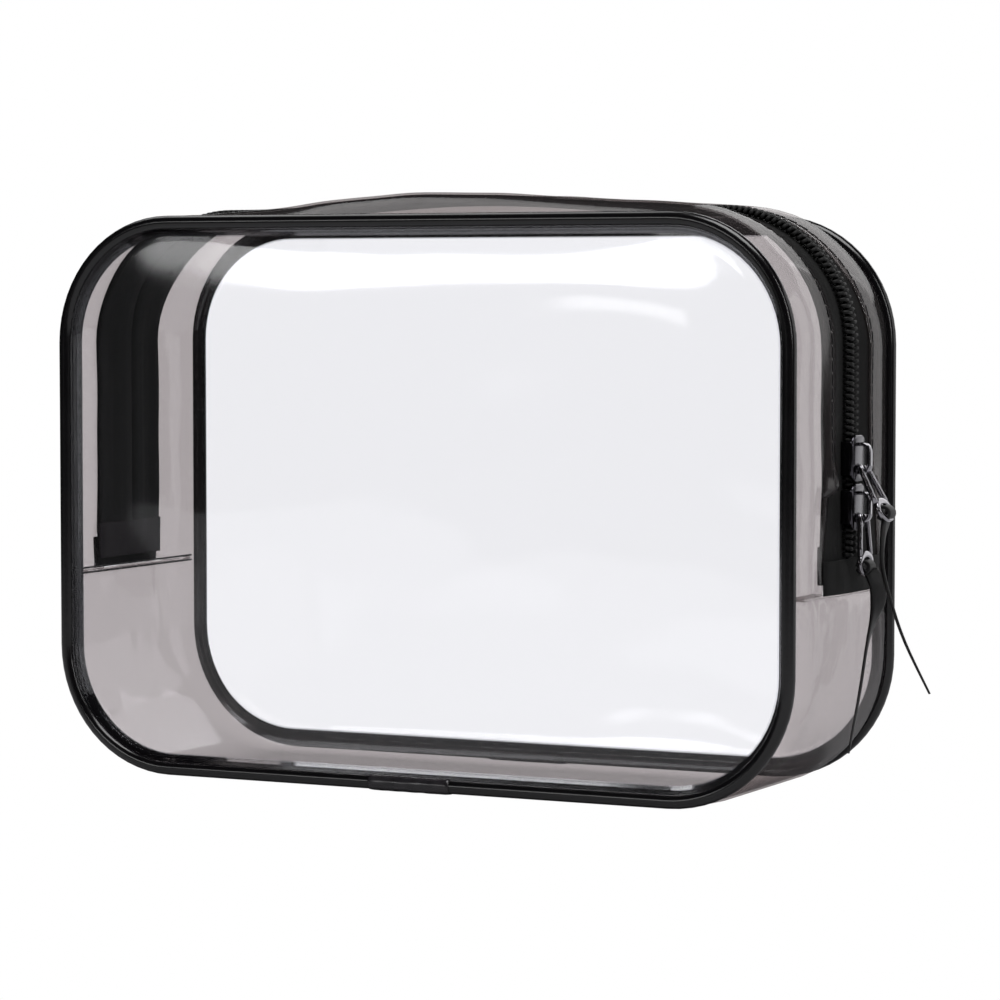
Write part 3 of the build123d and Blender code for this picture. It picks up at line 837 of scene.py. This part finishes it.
def make_sleeve(side):
    """Film wrapped round the butted ends of a piping, a little crumpled."""
    low, high = node_box("front_piping_join")
    turns = round_seam(math.asin(SLEEVE_SLIT / 2.0), 28)
    centre = Vector((0, PIPING_CENTRE[1] - DEPTH / 2, PIPING_CENTRE[0]))
    outline = [(SLEEVE_OUTER * math.sin(turn), SLEEVE_OUTER * math.cos(turn)) for turn in turns]
    outline += [(SLEEVE_INNER * math.sin(turn), SLEEVE_INNER * math.cos(turn))
                for turn in reversed(turns)]
    places = [low[0] + (high[0] - low[0]) * i / 30 for i in range(31)]
    frames = [Matrix.Translation(centre + Vector((x, 0, 0))) @ Matrix(
        ((0, 0, 1, 0), (1, 0, 0, 0), (0, 1, 0, 0), (0, 0, 0, 1))) for x in places]
    bm = swept(outline, frames)
    for vert in bm.verts:
        arm = vert.co - centre
        arm.x = 0
        if arm.length > 1.9:
            crumple = noise.noise(Vector((vert.co.x / 2.6, vert.co.y, vert.co.z)))
            edge = ease(min(vert.co.x - low[0], high[0] - vert.co.x), 0, 1.2)
            vert.co += arm.normalized() * (crumple * SLEEVE_CRUMPLE * edge
                                           - SLEEVE_PINCH * (1 - edge))
    return finish_piece(side + "_join_sleeve", facing(outward(bm), side), sleeve_skin,
                        nodes=[side + "_piping_join"])


# ---- sliders, pulls and straps
PLATE_THICK = 1.0         # of a slider's top and bottom plates
LIP_WIDTH = 1.15          # of the lips that hold the chain in
LIP_INSET = 1.4           # from the plate's ends to the lips' ends
BAIL_THICK, BAIL_WIDTH, BAIL_BEND = 0.9, 2.0, 1.75
PULL_THICK = 1.2
COLLAR_RADIUS, COLLAR_HALF = 0.6, 1.7
RAIL = ((2.2, 0.55), (2.3, -0.6), (2.7, -4.0), (3.1, -7.4), (3.3, -9.2))
RAIL_WIDTH = 1.15
EYE_WALL = 1.6
EYE_DROP = 10.9           # from the pull's pivot to the middle of its eye
EYE_HALF_WIDTH, EYE_HALF_DROP = 3.5, 2.0
EYE_STEPS = 28
LOOP_RADIUS = 1.5         # of the strap's loop round the eye's bar
PULL_PIVOTS = {"upper": (103.8, 0, 79.5), "lower": (103.8, 0, 68.0)}
PULL_LEANS = {"upper": 28.0, "lower": 3.0}
PULL_DROP = 12.0          # from the pull's pivot to the bar that the strap hangs from
STRAP_THICK = 0.8
STRAP_WIDTH = 4.0


def frames_along(points, faces):
    """Frames that follow points: Z along the way, and X towards the given face directions."""
    made = []
    for i, point in enumerate(points):
        ahead = Vector(points[min(i + 1, len(points) - 1)])
        way = (ahead - Vector(points[max(i - 1, 0)])).normalized()
        face = Vector(faces[i])
        face = (face - way * face.dot(way)).normalized()
        made.append(stood(point, face, way.cross(face), way))
    return made


def swept(section, frames, closed=False):
    """A closed section carried through frames by extruding its edges."""
    bm = bmesh.new()
    verts = [bm.verts.new(frames[0] @ Vector((x, y, 0))) for x, y in section]
    edges = [bm.edges.new(pair) for pair in zip(verts, verts[1:] + verts[:1])]
    first = edges
    for before, after in zip(frames, frames[1:]):
        made = bmesh.ops.extrude_edge_only(bm, edges=edges)["geom"]
        edges = [edge for edge in edges_in(made) if len(edge.link_faces) == 1]
        bmesh.ops.transform(bm, matrix=after @ before.inverted(), verts=verts_in(made))
    if closed:
        bmesh.ops.bridge_loops(bm, edges=first + edges)
    else:
        cap(bm, first, edges)
    return bm


def round_bar(thick, width, corner, steps=3):
    """Section of a flat bar with rounded corners."""
    points = []
    for cx, cy, start in ((1, 1, 0), (-1, 1, 90), (-1, -1, 180), (1, -1, 270)):
        for i in range(steps + 1):
            turn = math.radians(start + 90 * i / steps)
            points.append((cx * (thick / 2 - corner) + corner * math.cos(turn),
                           cy * (width / 2 - corner) + corner * math.sin(turn)))
    return points


def soft_block(low, high, corner, rim):
    """Block with its upright corners rounded by corner and its other edges by rim. Its face
    looks along X."""
    bm = bmesh.new()
    made = bmesh.ops.create_cube(bm, size=1)["verts"]
    size = Vector(high) - Vector(low)
    bmesh.ops.scale(bm, vec=size, verts=made)
    bmesh.ops.translate(bm, vec=(Vector(high) + Vector(low)) / 2, verts=made)
    edges = {edge for vert in made for edge in vert.link_edges}
    upright = [e for e in edges if abs(e.verts[0].co.x - e.verts[1].co.x) > size.x / 2]
    bmesh.ops.bevel(bm, geom=upright, offset=corner, segments=5, profile=0.5, affect="EDGES",
                    material=-1)
    near = [v for v in bm.verts if v.is_valid and all(
        low[k] - 0.001 <= v.co[k] <= high[k] + 0.001 for k in range(3))]
    rims = {edge for vert in near for edge in vert.link_edges
            if abs(edge.verts[0].co.x - edge.verts[1].co.x) < 0.001
            and len(edge.link_faces) == 2 and edge.calc_face_angle() > 0.9}
    bmesh.ops.bevel(bm, geom=list(rims), offset=rim, segments=3, profile=0.5, affect="EDGES",
                    material=-1)
    return bm


def make_slider(name):
    """Cast body: shield-shaped top plate with two lips, bottom plate, and the diamond."""
    low, high = node_box(name)
    face = WIDTH / 2
    top = high[0]
    half = high[1]
    head = high[2] - 5.0 if name == "lower_slider" else low[2] + 1.0
    lip_low, lip_high, lip_top = low[2] + LIP_INSET, high[2] - LIP_INSET, top - 0.3
    body = []
    # Lowest corner, highest corner, rounding of the upright corners and of the rims.
    for first, last, corner, rim in (
            ((top - PLATE_THICK, -half, low[2]), (top, half, high[2]), 2.6, 0.38),
            ((face - 0.38, -half, lip_low), (lip_top, LIP_WIDTH - half, lip_high), 0.5, 0.3),
            ((face - 0.38, half - LIP_WIDTH, lip_low), (lip_top, half, lip_high), 0.5, 0.3),
            ((low[0], -half + 0.6, low[2]), (low[0] + PLATE_THICK, half - 0.6, high[2]), 2.0,
             0.3),
            ((low[0] + 0.5, -0.4, head), (top - 0.5, 0.4, head + 4), 0.3, 0.05)):
        body.append(soft_block(first, last, corner, rim))
    return finish_piece(name + "_body", joined(body), black_nickel, name + "_body",
                        nodes=[name])


def joined(parts):
    """One bmesh of several."""
    whole = bmesh.new()
    for part in parts:
        mesh = as_mesh(outward(part), "part")
        whole.from_mesh(mesh)
        bpy.data.meshes.remove(mesh)
    return whole


def arc(centre, radius, start, end, steps):
    """Points of an arc in the X-Z plane, angles in degrees from +X towards +Z."""
    turns = [math.radians(start + (end - start) * i / steps) for i in range(steps + 1)]
    return [(centre[0] + radius * math.cos(t), centre[1], centre[2] + radius * math.sin(t))
            for t in turns]


def make_bail(name):
    """Bent bridge on the slider's top plate."""
    low, high = node_box(name + "_bail")
    thick, bend = BAIL_THICK, BAIL_BEND
    out = high[0] - thick / 2
    route = [(low[0] + 0.1, 0, low[2] + thick / 2), (out - bend - 0.4, 0, low[2] + thick / 2)]
    route += arc((out - bend, 0, low[2] + thick / 2 + bend), bend, -90, 0, 8)
    route += arc((out - bend, 0, high[2] - thick / 2 - bend), bend, 0, 90, 8)
    route += [(out - bend - 0.4, 0, high[2] - thick / 2), (low[0] + 0.1, 0, high[2] - thick / 2)]
    middle = Vector((low[0], 0, (low[2] + high[2]) / 2))
    frames = frames_along(route, [Vector(point) - middle for point in route])
    bm = swept(round_bar(thick, BAIL_WIDTH, 0.3), frames)
    return finish_piece(name + "_bail_bridge", outward(bm), gunmetal,
                        name + "_slider_body", nodes=[name + "_bail"])


def hung(bm, pivot, lean):
    """Turns a piece built hanging from the origin out of the side, and moves it to its pivot."""
    turn = Matrix.Rotation(math.radians(-lean), 4, "Y")
    bmesh.ops.transform(bm, matrix=Matrix.Translation(pivot) @ turn, verts=bm.verts)
    return bm


def make_pull(name):
    """Pull: pivot collar, two flared rails, and a rounded end with the strap's eye in it."""
    collar = [(COLLAR_RADIUS * math.cos(i * math.pi / 8), COLLAR_RADIUS * math.sin(i * math.pi / 8))
              for i in range(16)]
    ends = [(0, -COLLAR_HALF, 0), (0, COLLAR_HALF, 0)]
    parts = [swept(collar, frames_along(ends, [(1, 0, 0)] * 2))]
    for sign in (-1, 1):
        route = [(0, sign * y, z) for y, z in RAIL]
        frames = frames_along(route, [(1, 0, 0)] * len(route))
        parts.append(swept(round_bar(PULL_THICK, RAIL_WIDTH, 0.34), frames))
    turns = [2 * math.pi * (i + 0.5) / EYE_STEPS for i in range(EYE_STEPS)]
    loop = [(0, EYE_HALF_WIDTH * math.cos(t), -EYE_DROP + EYE_HALF_DROP * math.sin(t))
            for t in turns]
    loop = [(0, y, z - (0.55 if z < -EYE_DROP else 0)) for _, y, z in loop]
    frames = []
    for i, point in enumerate(loop):
        way = (Vector(loop[(i + 1) % EYE_STEPS]) - Vector(loop[i - 1])).normalized()
        face = Vector((1, 0, 0))
        frames.append(stood(point, face, way.cross(face), way))
    parts.append(swept(round_bar(PULL_THICK, EYE_WALL, 0.36), frames, closed=True))
    whole = hung(joined(parts), PULL_PIVOTS[name], PULL_LEANS[name])
    return finish_piece(name + "_pull_tab", whole, gunmetal, name + "_pull_body",
                        nodes=[name + "_pull"])


def make_strap(name, loop_lean, route, widths, faces):
    """Strap: a loop round the pull's end bar, glued to itself, and a tail that twists."""
    pivot = Vector(PULL_PIVOTS[name])
    lean = math.radians(PULL_LEANS[name])
    bar = pivot + Vector((math.sin(lean), 0, -math.cos(lean))) * PULL_DROP
    turns = [math.radians(-80 + 340 * i / 18) for i in range(19)]
    ring_points = [(LOOP_RADIUS * math.sin(t), 0, -LOOP_RADIUS * math.cos(t)) for t in turns]
    frames = frames_along(ring_points, [Vector(point) for point in ring_points])
    bm = swept(round_bar(STRAP_THICK, STRAP_WIDTH, 0.25), frames)
    parts = [hung(bm, bar, loop_lean)]
    points = [bar + Vector(point) for point in route]
    frames = frames_along(points, faces)
    section = round_bar(1.0, 1.0, 0.28)
    sized = [frame @ Matrix.Diagonal((t, w, 1, 1)) for frame, (t, w) in zip(frames, widths)]
    parts.append(swept(section, sized))
    return finish_piece(name + "_pull_strap", joined(parts), strap_skin,
                        name + "_strap_body", nodes=[name + "_strap"])


def smooth_route(points, steps):
    """Points along a smooth curve through points."""
    made = []
    ends = [points[0]] + list(points) + [points[-1]]
    for i in range(len(points) - 1):
        a, b, c, d = (Vector(point) for point in ends[i:i + 4])
        for k in range(steps):
            t = k / steps
            made.append(0.5 * (2 * b + (c - a) * t + (2 * a - 5 * b + 4 * c - d) * t * t
                               + (3 * b - a - 3 * c + d) * t ** 3))
    made.append(Vector(points[-1]))
    return made


def strap_along(name, loop_lean, knots):
    """Strap whose glued part and tail pass through knots: place, thickness, width and turn of
    the face about the way down, in degrees from +X."""
    places = smooth_route([knot[0] for knot in knots], 6)
    values = smooth_route([(knot[1], knot[2], knot[3]) for knot in knots], 6)
    faces = [(math.cos(math.radians(v.z)), math.sin(math.radians(v.z)), 0) for v in values]
    return make_strap(name, loop_lean, places, [(v.x, v.y) for v in values], faces)


# ---- the assembly
make_bottom_gusset()
for side in ("front", "back"):
    make_zip_strip(side)
    make_panel(side)
    make_piping(side)
    make_tape(side)
    make_coil(side)
    make_sleeve(side)
    make_stitches(side)
for side in ("right", "left"):
    make_zip_ends(side)
make_seam_stitches()

for name in ("upper", "lower"):
    make_slider(name + "_slider")
    make_bail(name)
    make_pull(name)
# Each strap's knots: place from the pull's end bar, thickness, width, and turn of its face.
strap_along("upper", 16, [
    ((0.1, -0.2, -1.6), 1.4, 3.8, 4), ((0.1, -2.2, -5.5), 1.3, 3.6, 18),
    ((0.8, -4.3, -12.5), 0.95, 3.4, 25), ((3.2, -4.0, -21.5), 0.75, 3.2, 25),
    ((6.2, -2.8, -30.5), 0.65, 3.0, 25), ((11.3, -0.6, -42), 0.5, 2.8, 25)])
strap_along("lower", 3, [
    ((1.3, 0, -0.9), 1.6, 4.0, -20), ((2.7, 0.7, -4.2), 1.6, 4.0, -46),
    ((2.7, 1.1, -8.2), 1.5, 3.8, -40), ((1.9, 0.5, -12), 0.95, 3.2, -6),
    ((1.1, -1.6, -18), 0.75, 3.2, 19), ((1.1, -6.4, -29.0), 0.75, 3.2, 25),
    ((1.5, -14.2, -42.0), 0.55, 3.0, 25)])


# ---- studio
FLOOR_HALF = 0.6          # metres from the middle to the table's edge, where the sweep starts


def make_floor():
    """Plain white table top, as bright as the sweep behind it."""
    bm = bmesh.new()
    bmesh.ops.create_grid(bm, x_segments=1, y_segments=1, size=FLOOR_HALF)
    mesh = as_mesh(bm, "floor")
    material, tree, surface = new_material("matt_white_paper")
    place = add(tree, "TexCoord").outputs["Object"]
    fibre = add(tree, "TexNoise", {"Vector": place, "Scale": 900.0})
    bump = add(tree, "Bump", {"Height": fibre, "Distance": 0.00002})
    paper = add(tree, "BsdfDiffuse", {"Color": linear("d0d0d2"), "Normal": bump})
    seen = add(tree, "LightPath").outputs["Is Camera Ray"]
    glow = add(tree, "Emission", {"Color": linear("ffffff")})
    whole = add(tree, "MixShader", {0: seen, 1: paper, 2: glow})
    tree.links.new(whole.outputs[0], surface)
    mesh.materials.append(material)
    floor = put("floor", mesh)
    floor.location.z = cad_low.z - 0.0002


def make_world():
    """White to look at, and dimmer as a light, so that dark glossy parts stay dark."""
    world = bpy.data.worlds.new("studio")
    bpy.context.scene.world = world
    world.use_nodes = True
    tree = world.node_tree
    tree.nodes.clear()
    seen = add(tree, "LightPath").outputs["Is Camera Ray"]
    strength = add(tree, "MapRange", {"Value": seen, "To Min": 0.03, "To Max": 1.0})
    sky = add(tree, "Background", {"Color": linear("ffffff"), "Strength": strength})
    out = tree.nodes.new("ShaderNodeOutputWorld")
    tree.links.new(sky.outputs[0], out.inputs["Surface"])


def make_softbox(name, place, size, power):
    """Area lamp that faces the middle of the bag. Sizes in metres."""
    data = bpy.data.lights.new(name, "AREA")
    data.shape = "RECTANGLE"
    data.size, data.size_y = size
    data.energy = power
    lamp = put(name, data)
    lamp.location = place
    lamp.visible_camera = False
    away = Vector(place) - Vector((0, 0, HEIGHT / 2 * M))
    lamp.rotation_mode = "QUATERNION"
    lamp.rotation_quaternion = away.to_track_quat("Z", "Y")


def make_camera():
    """Long lens, from the front and to the right, a little above the middle."""
    turn, rise, distance = math.radians(26.5), math.radians(3.28), 0.918
    target = Vector((0.008, 0, 0.0694))
    back = Vector((math.sin(turn) * math.cos(rise), -math.cos(turn) * math.cos(rise),
                   math.sin(rise)))
    data = bpy.data.cameras.new("camera")
    data.lens, data.sensor_width = 133.6, 36
    camera = put("camera", data)
    camera.location = target + back * distance
    camera.rotation_mode = "QUATERNION"
    camera.rotation_quaternion = back.to_track_quat("Z", "Y")
    bpy.context.scene.camera = camera


make_floor()
make_world()
for name, place, size, power in (
        ("overhead", (0.45, -0.3, 2.0), (1.1, 1.3), 28),
        # The long highlight along the top of the front panel.
        ("left_strip", (-0.85, -2.0, 0.56), (0.9, 0.26), 3.6),
        # Brightens the top film.
        ("left_top", (-1.0, 0.6, 1.7), (1.0, 1.0), 7),
        # The short highlight at the upper right of the front panel.
        ("left_low", (-0.78, -2.05, 0.27), (0.2, 0.06), 0.1),
        # Two bright areas on the right side's films, with a dark gap between them that the
        # flat metal faces mirror.
        ("right_wall", (1.9, 1.1, 0.55), (1.1, 1.5), 6),
        ("back_right", (0.84, 2.05, 0.45), (0.75, 1.4), 4),
        # Mirrored by the films that are seen nearly edge on: bottom, then top and corners.
        ("back_low", (-0.95, 1.9, 0.24), (1.3, 0.5), 1.9),
        ("back_high", (-0.1, 1.8, 0.85), (1.1, 0.7), 4.5),
        # Near-white glints on the rounded edges of the metal.
        ("right_edge", (1.9, -0.7, 0.9), (0.14, 1.4), 6)):
    make_softbox(name, place, size, power)
make_camera()
bpy.context.scene.view_settings.view_transform = "Standard"
